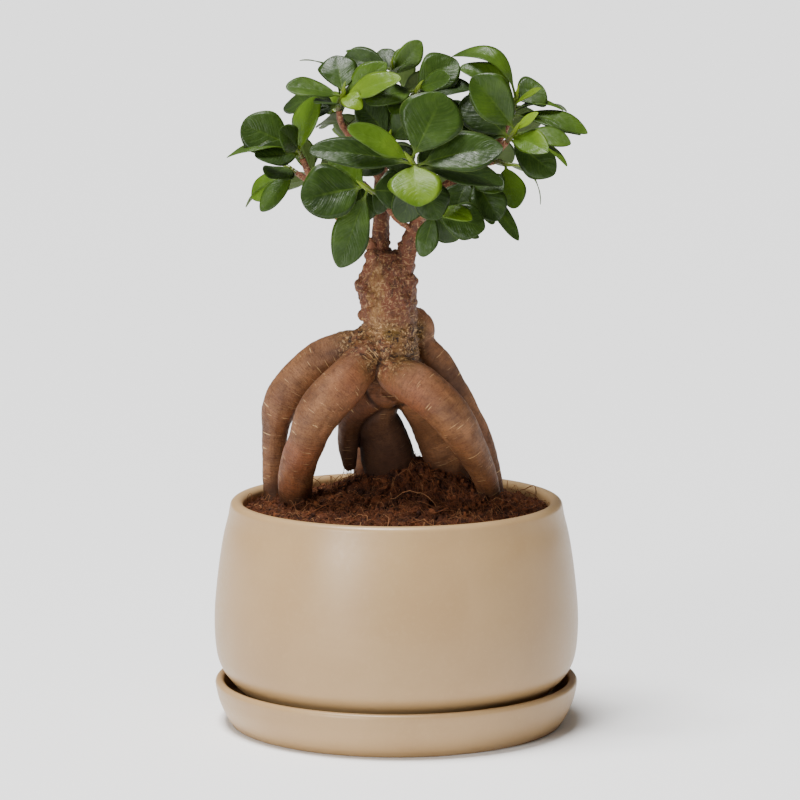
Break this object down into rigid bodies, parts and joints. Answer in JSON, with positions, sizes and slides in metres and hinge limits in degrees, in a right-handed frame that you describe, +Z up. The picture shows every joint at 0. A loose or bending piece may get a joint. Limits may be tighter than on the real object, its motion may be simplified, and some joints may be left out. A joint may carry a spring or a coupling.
{
  "type": "potted ginseng ficus",
  "caption": "Small grafted fig on thick arching aerial roots, with a rounded crown of glossy leaves, in a round stoneware pot on a saucer.",
  "frame": {"origin": "centre of the saucer's flat underside, on the surface that the plant stands on", "axes": "+Z up through the middle of the pot, -Y towards the front of the plant, +X to its right as seen from the front"},
  "size_m": [0.1828, 0.1788, 0.3373],
  "materials": {
    "stoneware": "satin",
    "coir": "matte",
    "bark": "matte",
    "foliage": "gloss"
  },
  "bodies": {
    "root": {"saucer": "stoneware", "pot": "stoneware", "soil": "coir", "trunk": "bark", "shoot_back": "foliage", "shoot_back_left": "foliage", "shoot_back_low": "foliage", "shoot_front": "foliage", "shoot_front_left": "foliage", "shoot_front_low": "foliage", "shoot_inner_right": "foliage", "shoot_left": "foliage", "shoot_left_low": "foliage", "shoot_middle": "foliage", "shoot_middle_left": "foliage", "shoot_middle_right": "foliage", "shoot_right": "foliage", "shoot_right_back": "foliage", "shoot_right_low": "foliage", "shoot_right_top": "foliage", "shoot_top": "foliage", "shoot_top_back": "foliage", "shoot_top_right": "foliage", "shoot_upper_back_left": "foliage", "shoot_upper_left": "foliage"}
  },
  "joints": []
}
